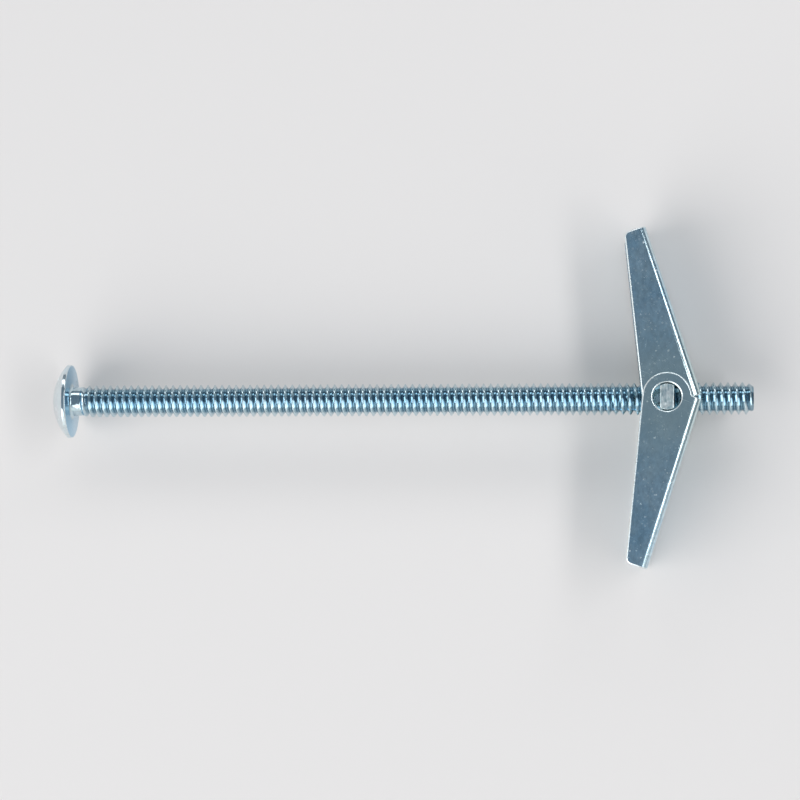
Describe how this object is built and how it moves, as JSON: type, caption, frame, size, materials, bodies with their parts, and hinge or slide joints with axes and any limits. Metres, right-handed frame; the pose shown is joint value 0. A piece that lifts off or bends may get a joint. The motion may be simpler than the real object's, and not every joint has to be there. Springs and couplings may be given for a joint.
{
  "type": "spring toggle bolt",
  "caption": "Hollow-wall anchor: a long machine screw with a low dome head, and a threaded trunnion nut whose two folded channel wings spring open behind the wall.",
  "frame": {"origin": "centre of the screw head's bearing face, on the screw axis", "axes": "+X along the screw towards its tip, +Z along the wings' pivot axis, with the outer wing spread towards -Y and the inner wing towards +Y"},
  "size_m": [0.1043, 0.0502, 0.0128],
  "materials": {
    "screw_zinc": "bright blue-white zinc plate on rolled steel",
    "nut_zinc": "zinc plate on stamped steel, rough at the sheared lug ends",
    "spring_wire": "zinc plated spring wire",
    "wing_zinc": "blue-white zinc plate on folded steel sheet, fine speckle and scratches"
  },
  "bodies": {
    "screw": {"machine_screw": "screw_zinc"},
    "nut": {"trunnion_nut": "nut_zinc", "torsion_spring": "spring_wire"},
    "wing_outer": {"outer_wing": "wing_zinc"},
    "wing_inner": {"inner_wing": "wing_zinc"}
  },
  "joints": [
    {"name": "toggle_travel", "type": "slide", "parent": "screw", "child": "nut", "axis": [1, 0, 0], "range_m": [-0.06138, 0.01164]},
    {"name": "outer_wing_fold", "type": "hinge", "parent": "nut", "child": "wing_outer", "pos_m": [0.0889, 0, 0], "axis": [0, 0, -1], "range_deg": [0, 74], "stiffness_Nm_per_rad": 0.02, "springref_deg": -20.05, "deforming": ["torsion_spring"]},
    {"name": "inner_wing_fold", "type": "hinge", "parent": "nut", "child": "wing_inner", "pos_m": [0.0889, 0, 0], "axis": [0, 0, 1], "range_deg": [0, 74], "stiffness_Nm_per_rad": 0.02, "springref_deg": -20.05, "deforming": ["torsion_spring"]}
  ]
}
